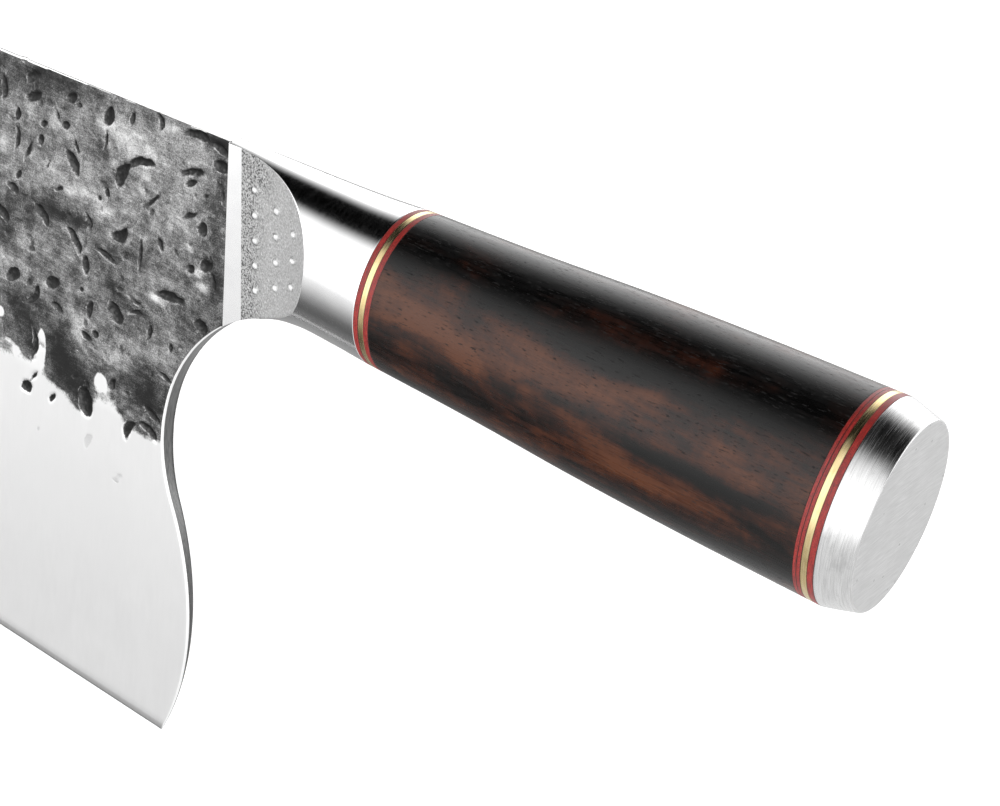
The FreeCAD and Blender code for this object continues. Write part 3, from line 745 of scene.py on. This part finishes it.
def surface(side, table, x, z):
    """Half thickness of the plate before its borders are rounded, and the values the steel shows."""
    wx = x + 0.34 * noise.noise(Vector((x * 0.7, z * 0.7, side * 5.0)))
    wz = z + 0.34 * noise.noise(Vector((x * 0.7, z * 0.7, side * 5.0 + 40.0)))
    here = table.get((math.floor(wx / CELL), math.floor(wz / CELL)), [])
    depth, shade, cut = mark_depth(here, wx, wz)
    lead = grind_lead(side, x, z)
    wave = 0.035 * noise.noise(Vector((x * 0.45, side * 11.3 + 5, z * 0.45)))
    wave += 0.020 * noise.noise(Vector((x * 1.1, side * 3.1 + 9, z * 1.1)))
    pit = 0.36 * cut * smooth((depth + 0.14) / 0.5)
    forged = HALF_BLADE - 0.07 + min(0.06, wave) * (1 - smooth((lead + 1) / 2)) - pit
    if z < BEVEL_Z:
        ground = HALF_EDGE + (HALF_BEVEL - HALF_EDGE) * (z - EDGE_Z) / (BEVEL_Z - EDGE_Z)
    else:
        ground = HALF_BEVEL + (HALF_BLADE - HALF_BEVEL) * (z - BEVEL_Z) / (GRIND_Z - BEVEL_Z)
        ground -= 0.08 * clamp((ground - 0.25) / 0.3)
    if depth > -0.2 and z > BEVEL_Z:
        ground -= min(0.35 * pit, 0.5 * ground)
    half = max(min(forged, ground), HALF_EDGE)
    tone = blobs(PATCHES, x, z) if side < 0 and x > PATCHED_X else 0.0
    return half, {"mark": depth, "shade": shade, "cut": cut, "ground": lead, "tone": tone}


def rounded(half, gaps):
    """Half thickness near the borders, rounded off by (distance to the border, radius) pairs."""
    for gap, radius in gaps:
        r = min(radius, half * 0.8)
        if gap < r:
            half = min(half, half - r + math.sqrt(max(0.0, r * r - (r - gap) ** 2)))
    return half


def worn_spine(x):
    """Width of the bright line along the top of the blade's side. It widens towards the toe."""
    more = SPINE_LINE_MORE * clamp((SPINE_LINE_FROM - x) / SPINE_LINE_RUN)
    return SPINE_LINE + more + SPINE_LINE_RIPPLE * noise.noise(Vector((x * 0.2, 7.0, 0.0)))


def blade():
    """The forged plate as one closed mesh, with hammered sides above the grind."""
    fine = spread(0.0, 1.0, 1 / FINE_COLUMNS)
    rows = [EDGE_Z, EDGE_Z + 0.45, EDGE_Z + 0.95, BEVEL_Z]
    rows += spread(BEVEL_Z, FINE_Z, 1.5)[1:]
    rows += spread(FINE_Z, SPINE_Z, ROW_STEP)[1:]
    # a row is a share of the height between the edge and the spine at the seam
    seam_top = spine_z(SEAM_X)
    shares = [(z - EDGE_Z) / (seam_top - EDGE_Z) for z in rows if z < seam_top - 1.2]
    shares += [1 - gap / (seam_top - EDGE_Z) for gap in TOP_GAPS]

    def row_z(share, x):
        return EDGE_Z + share * (spine_z(x) - EDGE_Z)

    def ends(share):
        right, left = SEAM_X, TOE_X
        for _ in range(12):
            right = right_x(row_z(share, right))
        for _ in range(40):
            left = 0.5 * left + 0.5 * left_x(min(row_z(share, left), spine_z(left)))
        return left, right

    verts, values, grid = [], [], {}
    columns = 0
    for side, seed, listed in ((-1, 11, True), (1, 29, False)):
        table = cells(make_marks(seed, listed))
        for j, share in enumerate(shares):
            left, right = ends(share)
            start, stop = left + END_GAP, right - END_GAP
            xs = [left, left + 0.08, left + 0.2, start]
            xs += [start + (FINE_X - start) * i / COARSE_COLUMNS for i in range(1, COARSE_COLUMNS)]
            xs += [FINE_X + (stop - FINE_X) * t for t in fine]
            xs += [right - gap for gap in (0.27, 0.15, 0.06, 0.0)]
            columns = len(xs)
            for i, x in enumerate(xs):
                z = row_z(share, x)
                half, seen = surface(side, table, x, z)
                from_right = 9.0 if z >= SEAM_Z - 0.02 else right - x
                from_top = (1 - share) * (spine_z(x) - EDGE_Z)
                gaps = ((from_right, EDGE_ROUND), (x - left, EDGE_ROUND), (from_top, SPINE_ROUND))
                if from_right < BRIGHT_BORDER or from_top < worn_spine(x):
                    # the borders were ground bright after forging
                    seen.update(mark=-1.0, ground=3.0)
                grid[side, i, j] = len(verts)
                verts.append((x, side * rounded(half, gaps), z))
                values.append(seen)

    faces, which = [], []
    top, last = len(shares) - 1, columns - 1
    for j in range(top):
        for i in range(last):
            a, b, c, d = grid[-1, i, j], grid[-1, i + 1, j], grid[-1, i + 1, j + 1], grid[-1, i, j + 1]
            faces.append((a, b, c, d))
            a, b, c, d = grid[1, i, j], grid[1, i, j + 1], grid[1, i + 1, j + 1], grid[1, i + 1, j]
            faces.append((a, b, c, d))
            which += [0, 0]
    for i in range(last):
        faces.append((grid[-1, i, top], grid[-1, i + 1, top], grid[1, i + 1, top], grid[1, i, top]))
        faces.append((grid[-1, i + 1, 0], grid[-1, i, 0], grid[1, i, 0], grid[1, i + 1, 0]))
        which += [1, 1]
    for j in range(top):
        faces.append((grid[-1, last, j], grid[1, last, j], grid[1, last, j + 1], grid[-1, last, j + 1]))
        faces.append((grid[1, 0, j], grid[-1, 0, j], grid[-1, 0, j + 1], grid[1, 0, j + 1]))
        which += [1, 1]
    obj = piece("blade_forged", verts, faces, "blade",
                [forged_and_ground_steel(), ground_rim_steel()], which)
    for label in ("mark", "shade", "cut", "ground", "tone"):
        layer = obj.data.attributes.new(label, "FLOAT", "POINT")
        layer.data.foreach_set("value", [seen[label] for seen in values])
    return obj


# ---------------------------------------------------------------------------------------------------
# Bolster
# ---------------------------------------------------------------------------------------------------
DOT_ROWS = [3, 3, 3, 2, 1]
DOT_X, DOT_Z = -29.13, 6.01
DOT_PITCH_X, DOT_PITCH_Z = 6.25, 4.13
DOT_DROP = 0.85
DOT_LEAN = 0.151
DOT_RADIUS = 0.62
DOT_HEIGHT = 0.52
SHADOW_X, SHADOW_Z = -0.5, -0.25  # the painted shadow beside a dot is centred this far from it
SHADOW_REACH = 1.3              # in dot radii
ARC_STEPS, PAD_STEPS, UNDER_STEPS = 30, 104, 6
# (distance from the ring, how far the rim is rounded off there)
RING_TRIM = {-0.1: 0.0, -0.03: 0.02, 0.0: 0.06}
SIDE, PAD, UNDER = 0, 1, 2    # polished side, blasted pad, ground underside


def dots():
    """X and Z of the raised dots."""
    found = []
    for row, count in enumerate(DOT_ROWS):
        for column in range(count):
            x = DOT_X + column * DOT_PITCH_X + DOT_LEAN * row * DOT_PITCH_Z
            found.append((x, DOT_Z - row * DOT_PITCH_Z - column * DOT_DROP))
    return found


def pad_half_width(s):
    """Half thickness between the hollow pads at station s."""
    behind = max(0.0, s - PAD_X)
    return HALF_BLADE + PAD_SLOPE * behind + PAD_HOLLOW * behind ** 2


def half_width(s):
    return spline(BOLSTER, s, 3)


def pad_end():
    """Station where the sloped pads run out at the bolster's widest line."""
    low, high = PAD_X, 0.0
    for _ in range(50):
        middle = (low + high) / 2
        if pad_half_width(middle) < half_width(middle):
            low = middle
        else:
            high = middle
    return low


PAD_END = pad_end()


def lean_at(s):
    """How far the section at station s leans forward per millimetre of height."""
    if s <= PAD_X:
        return SEAM_LEAN + (PAD_LEAN - SEAM_LEAN) * clamp((s - SEAM_X) / (PAD_X - SEAM_X))
    return PAD_LEAN * clamp((s - PAD_END) / (PAD_X - PAD_END))


def height_at(y, tall, half):
    """Height of a half oval at distance y from the middle."""
    return tall * math.sqrt(max(0.0, 1 - (y / half) ** 2))


def cut_height(s, lean):
    """How far below the middle the throat cuts the leaning section at station s."""
    z = throat_ceiling(s)
    for _ in range(10):
        z = throat_ceiling(s - lean * z)
    return -z


def bolster_section(s):
    """Right half of the leaning section at station s, from the top down: (y, z, what it is)."""
    lean = lean_at(s)
    above = spline(BOLSTER, min(0.0, s - lean * 12), 1)
    below = spline(BOLSTER, min(0.0, s + lean * 13), 2)
    half = half_width(s)
    trim = RING_TRIM.get(round(s, 2), 0.0)
    above, below, half = above - trim, below - trim, half - trim
    w = min(pad_half_width(s), half)
    on_pad = w < half
    cut = min(cut_height(s, lean), below)
    flat = half * math.sqrt(max(0.0, 1 - (cut / below) ** 2))
    a_end = math.acos(w / half) if on_pad else 0.0
    loop = []
    for k in range(ARC_STEPS):
        a = math.pi / 2 - (math.pi / 2 - a_end) * k / ARC_STEPS
        y = min(half * math.cos(a), w)
        loop.append((y, height_at(y, above, half), SIDE))
    high_z = height_at(w, above, half) if on_pad else 0.0
    if flat > w:
        flat, low_z = w, -cut
    else:
        low_z = -height_at(w, below, half) if on_pad else 0.0
    span = high_z - low_z
    near = min(0.10 / span, 0.2) if span > 1e-6 else 0.0
    for k in range(PAD_STEPS + 1):
        t = near + (1 - 2 * near) * (k - 1) / (PAD_STEPS - 2)
        t = {0: 0.0, PAD_STEPS: 1.0}.get(k, t)
        loop.append((w, high_z - span * t, PAD))
    b_low = math.acos(clamp(flat / half))
    for k in range(1, ARC_STEPS):
        y = half * math.cos(a_end + (b_low - a_end) * k / ARC_STEPS)
        loop.append((y, -height_at(y, below, half), SIDE) if flat < w else (w, low_z, SIDE))
    for k in range(UNDER_STEPS + 1):
        loop.append((flat * (1 - k / UNDER_STEPS), -cut, UNDER))
    return loop


def on_dot(x, y, z, found):
    """Lifts a point of the pad where a dot stands."""
    for dx, dz in found:
        away = ((x - dx) ** 2 + (z - dz) ** 2) / DOT_RADIUS ** 2
        if away < 1:
            slope = PAD_SLOPE + 2 * PAD_HOLLOW * (dx - PAD_X + PAD_LEAN * dz)
            normal = Vector((-slope, 1.0)).normalized()
            lift = DOT_HEIGHT * math.sqrt(1 - away)
            return x + normal.x * lift, y + normal.y * lift, z
    return x, y, z


def dot_highlight_and_shadow(x, _y, z):
    """Above nought on a dot, whose top carries a painted highlight; below nought in the painted shadow
    beside its foot.
    """
    tone = 0.0
    for dx, dz in dots():
        away = math.hypot(x - dx, z - dz) / DOT_RADIUS
        shadow_away = math.hypot(x - dx - SHADOW_X, z - dz - SHADOW_Z) / DOT_RADIUS
        if away < 1.0:
            return smooth((1.0 - away) / 0.35)
        if shadow_away < SHADOW_REACH:
            tone = -smooth((SHADOW_REACH - shadow_away) / 0.6)
    return tone


def bolster():
    """Oval at the ring, thinning to the blade, with two blasted pads and the throat cut beneath."""
    stations = [SEAM_X, SEAM_X + 0.04, SEAM_X + 0.15, -34.0, -33.0]
    stations += [PAD_X + gap for gap in (-0.6, -0.25, -0.06, 0.06)]
    stations += spread(PAD_X + 0.25, PAD_END - 0.6, 0.22)
    stations += [PAD_END - 0.4, PAD_END - 0.2, PAD_END - 0.08, PAD_END, PAD_END + 0.1, PAD_END + 0.3]
    stations += spread(PAD_END + 0.6, -0.25, 0.3) + [-0.1, -0.03, 0.0]
    found = dots()
    verts, index = [], {}
    for side in (-1, 1):
        for i, s in enumerate(stations):
            lean = lean_at(s)
            loop = bolster_section(s)
            for k, (y, z, kind) in enumerate(loop):
                x = s - lean * z
                if kind == PAD and PAD_X < s < PAD_END:
                    x, y, z = on_dot(x, y, z, found)
                index[side, i, k] = len(verts)
                verts.append((x, side * y, z))
    count = len(loop)
    pad_rows = range(ARC_STEPS, ARC_STEPS + PAD_STEPS)
    under_rows = range(ARC_STEPS + PAD_STEPS + ARC_STEPS - 1, count)
    faces, which = [], []
    for side in (-1, 1):
        for i in range(len(stations) - 1):
            between = PAD_X - 0.07 <= stations[i] and stations[i + 1] <= PAD_END + 0.001
            for k in range(count - 1):
                a, b = index[side, i, k], index[side, i + 1, k]
                c, d = index[side, i + 1, k + 1], index[side, i, k + 1]
                faces.append((a, b, c, d) if side < 0 else (a, d, c, b))
                which.append(PAD if between and k in pad_rows else UNDER if k in under_rows else SIDE)
    for i in (0, len(stations) - 1):
        loop = [index[-1, i, k] for k in range(count)] + [index[1, i, k] for k in reversed(range(count))]
        faces.append(tuple(loop) if i else tuple(reversed(loop)))
        which.append(UNDER)
    obj = piece("bolster_polished", verts, faces, "bolster",
                [polished_steel(), blasted_steel(), ground_rim_steel()], which)
    clean(obj)
    # painted highlight on each dot's top and painted shadow beside its foot
    paint(obj, "dot", dot_highlight_and_shadow)
    return obj


# ---------------------------------------------------------------------------------------------------
# Stacked handle
# ---------------------------------------------------------------------------------------------------
def oval(x, half_height, inset=0.0):
    """Outline of the handle at x, from the top round over -Y."""
    inset += INSIDE
    a, b = half_height - inset, half_height * WIDTH_RATIO - inset
    return [(x, -b * s, AXIS_RISE * x + a * c) for s, c in TURNS]


def slot_hole(x, half_y, half_z):
    """Rectangular slot, as many corners as the oval has."""
    found = []
    for s, c in TURNS:
        r = min(half_y / max(1e-9, abs(s)), half_z / max(1e-9, abs(c)))
        found.append((x, -r * s, r * c))
    return found


def round_hole(x, radius):
    return [(x, -radius * s, radius * c) for s, c in TURNS]


def skin(a, b):
    """Faces between two rows of corners, each row one loop of the oval."""
    pairs = [(k, (k + 1) % AROUND) for k in range(AROUND)]
    return [(a * AROUND + k, b * AROUND + k, b * AROUND + m, a * AROUND + m) for k, m in pairs]


def tube(name, node, material, loops):
    """Mesh through a run of loops, the last joined to the first."""
    verts = [p for loop in loops for p in loop]
    faces = []
    for i in range(len(loops)):
        faces += skin(i, (i + 1) % len(loops))
    obj = piece(name, verts, faces, node, [material], [0] * len(faces))
    clean(obj)
    return obj


def sleeve_loops(x0, x1, hole, step, soft):
    """Loops of a sleeve: down the outside, rounded at both ends, and back through its hole."""
    outside = [(x0, soft), (x0 + soft * 0.3, soft * 0.3), (x0 + soft, 0.0)]
    outside += [(x, 0.0) for x in spread(x0 + soft + JOINT_BLEND, x1 - soft - JOINT_BLEND, step)]
    outside += [(x1 - soft, 0.0), (x1 - soft * 0.3, soft * 0.3), (x1, soft)]
    loops = [oval(x, spline(HANDLE, x), inset) for x, inset in outside]
    return loops + [hole(x1), hole(x0)]


def paint(obj, name, value):
    """Writes a value for each vertex, worked out from its place in millimetres."""
    layer = obj.data.attributes.new(name, "FLOAT", "POINT")
    places = [(v.co - RING) / MM for v in obj.data.vertices]
    layer.data.foreach_set("value", [value(*place) for place in places])


def vein_at(x, y, z):
    """Lighter or darker figure of the wood at a place on the grip's near side."""
    angle = math.degrees(math.atan2(z - AXIS_RISE * x, -y))
    return blobs(VEINS, x, angle)


def front_hole(x):
    return slot_hole(x, 2.1, 4.6)


def rear_hole(x):
    return round_hole(x, 5.75)


def grip_hole(x):
    return round_hole(x, 5.3)


# Figure of the grip's near side: X in millimetres, angle round the oval in degrees from facing the camera's
# side up to the top, radius along X, radius in degrees, amount
VEINS = [
    (60, -45, 14, 14, -.10), (75, -40, 8, 14, -.12), (4, 80, 6, 16, -.14), (14, 57, 7, 13, -.17),
    (22, 49, 6, 9, -.15), (26, 64, 7, 14, -.12), (34.5, 39, 5, 8, -.13), (41, 41, 6, 9, -.15),
    (47, 38, 4, 7, -.13), (51, 48, 6, 10, -.13), (57, 41, 4, 7, -.13), (62, 48, 6, 9, -.16),
    (67, 51, 6, 10, -.15), (72, 63, 6, 13, -.13), (29.5, -4, 4, 5, -.11), (35, 8, 4, 5, -.09),
    (42, 3, 4, 4, -.12), (49, 0, 4, 4, -.15), (55.5, -1, 4.4, 4, -.17), (61.5, 1, 4.4, 4.4, -.16),
    (66.5, 0, 4, 5, -.16), (72, 1, 5, 5, -.14), (20, -25, 6, 7, -.10), (5.5, 43, 4, 7, -.10),
    (75, -15, 5, 11, -.12), (34.5, -19, 4, 5, -.08), (40, 78, 14, 16, -.10), (56, 82, 14, 18, -.12),
    (70, 90, 12, 20, -.13), (20, 85, 14, 18, -.08), (75, 25, 4, 12, -.08), (11.5, 17, 7, 13, .08),
    (24.5, 31, 5, 8, .07), (16.5, 12, 6, 8, .06), (22, 2, 5, 8, .09), (43, 22, 7, 9, .06),
    (51.5, 31, 4, 6, .10), (63.5, 22, 6, 8, .05), (70, 38, 4, 6, .06), (29, 10, 3, 5, .06),
    (32, 29, 4, 7, .06), (10, -9, 7, 8, .05), (45, -8, 5, 4, .07), (49.5, -18, 7, 8, .08),
    (54.5, -24, 7, 8, .07), (67.5, -27, 7, 9, .03), (26.5, -42, 7, 11, .05), (36, -32, 6, 8, .05),
]
SPIGOT_X = 70.0               # front end of the cap's spigot, and the floor of its counterbore
JOINT_BLEND = 0.05            # width over which the painted shade at a joint fades


def handle_pieces():
    red, gold, wood = red_fibre(), brass(), grip_wood()
    stack = [
        ("liner_front_outer", "front_liner_outer", "red_fibre", red, front_hole, 0.4, 0.06),
        ("spacer_front", "front_brass_spacer", "brass", gold, front_hole, 0.4, 0.05),
        ("liner_front_inner", "front_liner_inner", "red_fibre", red, front_hole, 0.4, 0.06),
        ("grip_rosewood", "grip", "grip_wood", wood, None, 1.0, 0.06),
        ("liner_rear_first", "rear_liner_inner_front", "red_fibre", red, rear_hole, 0.3, 0.05),
        ("liner_rear_second", "rear_liner_inner_back", "red_fibre", red, rear_hole, 0.3, 0.05),
        ("spacer_rear", "rear_brass_spacer", "brass", gold, rear_hole, 0.4, 0.05),
        ("liner_rear_outer", "rear_liner_outer", "red_fibre", red, rear_hole, 0.4, 0.06),
    ]
    for name, node, slot_name, material, hole, step, soft in stack:
        low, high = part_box(node)
        x0, x1 = (low.x - RING.x) / MM, (high.x - RING.x) / MM
        if node == "grip":
            loops = sleeve_loops(x0, x1, grip_hole, step, soft)[:-2]
            # counterbore for the cap's spigot
            loops += [rear_hole(x1), rear_hole(SPIGOT_X), grip_hole(SPIGOT_X), grip_hole(x0)]
        else:
            loops = sleeve_loops(x0, x1, hole, step, soft)
        obj = tube(name, node, material, loops)
        if node == "grip":
            paint(obj, "vein", vein_at)
        else:
            # painted shade along both ends of each sheet
            line = soft + JOINT_BLEND / 5
            paint(obj, "joint_shade", lambda x, y, z: 1.0 if min(x - x0, x1 - x) < line else 0.0)


def end_cap():
    """Convex tapered cap with a flat sanded end, a softened rim and its tapped spigot."""
    x0, x1 = CAP[0][0], CAP[-1][0]
    rim = 0.4
    outside = [(x0, 0.05), (x0 + 0.02, 0.02), (x0 + 0.06, 0.0)]
    outside += [(x, 0.0) for x in spread(x0 + 0.06, x1 - rim, 0.35)[1:]]
    loops = [oval(x, spline(CAP, x), inset) for x, inset in outside]
    for k in range(1, 7):
        a = math.pi / 2 * k / 6
        x = x1 - rim + rim * math.sin(a)
        loops.append(oval(x, spline(CAP, x1 - rim) - rim * (1 - math.cos(a))))
    face_start = len(loops) - 1
    last = spline(CAP, x1 - rim) - rim
    centre_z = AXIS_RISE * x1
    for share in (0.985, 0.8, 0.6, 0.4, 0.2, 0.05):
        loops.append([(x1, y * share, centre_z + (z - centre_z) * share) for _, y, z in oval(x1, last)])
    face_end = len(loops) - 1
    spigot, stud, stud_end = 5.6, 3.0, 82.6
    inner = [round_hole(x0, spigot), round_hole(SPIGOT_X, spigot), round_hole(SPIGOT_X, stud),
             round_hole(stud_end, stud), round_hole(stud_end, 0.2)]
    # the outside runs from the front face to the end, and the inside comes back through the bore
    verts = [p for loop in loops + inner for p in loop]
    faces, which = [], []
    for i in range(face_end):
        faces += skin(i, i + 1)
        which += [1 if i >= face_start else 0] * AROUND
    faces.append(tuple(face_end * AROUND + k for k in range(AROUND)))
    which.append(1)
    rows = [0] + [len(loops) + i for i in range(len(inner))]
    for a, b in zip(rows, rows[1:]):
        faces += skin(b, a)
        which += [0] * AROUND
    faces.append(tuple(rows[-1] * AROUND + k for k in range(AROUND)))
    which.append(0)
    steels = [cap_steel(), cap_face_steel()]
    obj = piece("cap_steel", verts, faces, "end_cap", steels, which)
    clean(obj)
    return obj


blade()
bolster()
handle_pieces()
end_cap()
for node, material in (("tang", tang_steel()), ("epoxy_bed", cured_epoxy())):
    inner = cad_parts[node]
    inner.data.materials.clear()
    inner.data.materials.append(material)


# ---------------------------------------------------------------------------------------------------
# Floor, studio and camera
# ---------------------------------------------------------------------------------------------------
def sheet(name, x0, x1, y0, y1, z, material):
    """Flat rectangle in metres."""
    mesh = bpy.data.meshes.new(name)
    mesh.from_pydata([(x0, y0, z), (x1, y0, z), (x1, y1, z), (x0, y1, z)], [], [(0, 1, 2, 3)])
    mesh.materials.append(material)
    obj = bpy.data.objects.new(name, mesh)
    bpy.context.scene.collection.objects.link(obj)
    return obj


def floor():
    m = Nodes("pale_floor")
    m.set(Base_Color=0.86, Roughness=0.9, Specular_IOR_Level=0.0)
    m.set(Emission_Color=(1, 1, 1), Emission_Strength=0.5)
    m.mat.cycles.emission_sampling = "NONE"
    table = sheet("floor", -6, 6, -6, 6, 0.0, m.mat)
    # polished metal sees the studio's own table instead
    table.visible_glossy = False


# Brightness of the table below, by angle round the handle's axis
TABLE_SHADE = [
    (-180, .5), (-160, .42), (-140, .38), (-120, .34), (-104, .28), (-93, .19), (-84, .16), (-76, .11),
    (-65, .15), (-53, .36), (-44, .62), (-36, .84), (-26, 1), (180, 1),
]


def studio():
    """White tent with a soft box on each side and a black strip overhead."""
    world = bpy.data.worlds.new("studio")
    bpy.context.scene.world = world
    g = Graph(world)
    out = g.tree.nodes.new("ShaderNodeOutputWorld")
    bg = g.tree.nodes.new("ShaderNodeBackground")
    g.link(bg.outputs[0], out.inputs[0])
    tc = g.tree.nodes.new("ShaderNodeTexCoord")
    sep = g.tree.nodes.new("ShaderNodeSeparateXYZ")
    g.link(tc.outputs["Generated"], sep.inputs[0])
    x, y, z = sep.outputs
    # angle round the handle's axis: 0 at the near side, 90 overhead, -90 underneath
    turn = g.times(g.math("ARCTAN2", z, g.times(y, -1.0)), 180 / math.pi)
    near_box = g.times(g.remap(turn, 62.0, 10.0, 0.0, 1.1), g.remap(turn, -34.0, -8.0))
    back = g.remap(turn, 118.0, 146.0, 0.0, 1.6)
    light = g.plus(g.plus(1.0, near_box), back)
    # black strip overhead
    strip = g.times(g.remap(turn, 44.0, 68.0), g.remap(turn, 132.0, 104.0))
    strip = g.times(strip, g.remap(z, 0.2, 0.4))
    light = g.times(light, g.less(1.0, strip))
    # the table falls off into shade under the handle
    place = g.math("DIVIDE", g.plus(turn, 180.0), 360.0)
    shade = g.ramp(place, *[((angle + 180) / 360, value) for angle, value in TABLE_SHADE])
    window = g.times(g.remap(x, -0.84, -0.74), g.remap(x, -0.25, -0.42))
    light = g.times(light, g.less(1.0, g.times(g.less(1.0, shade), window)))
    g.link(light, bg.inputs["Strength"])
    bg.inputs["Color"].default_value = (1, 1, 1, 1)


# The view: its place off the front ring in millimetres, its backward and its upward direction
CAMERA_OFFSET = (164.05, -230.49, 131.24)
CAMERA_BACK = Vector((0.4673, -0.7532, 0.4630))
CAMERA_UP = Vector((-0.3921, 0.2928, 0.8721))


def camera():
    data = bpy.data.cameras.new("camera")
    data.lens = 73.5
    data.sensor_width = 36.0
    data.clip_start = 0.01
    data.clip_end = 30.0
    obj = bpy.data.objects.new("camera", data)
    back = CAMERA_BACK.normalized()
    right = CAMERA_UP.cross(back).normalized()
    up = back.cross(right)
    turn = Matrix((right, up, back)).transposed()
    obj.matrix_world = Matrix.Translation(at(*CAMERA_OFFSET)) @ turn.to_4x4()
    bpy.context.scene.collection.objects.link(obj)
    bpy.context.scene.camera = obj


floor()
studio()
camera()
bpy.context.scene.view_settings.view_transform = "Standard"
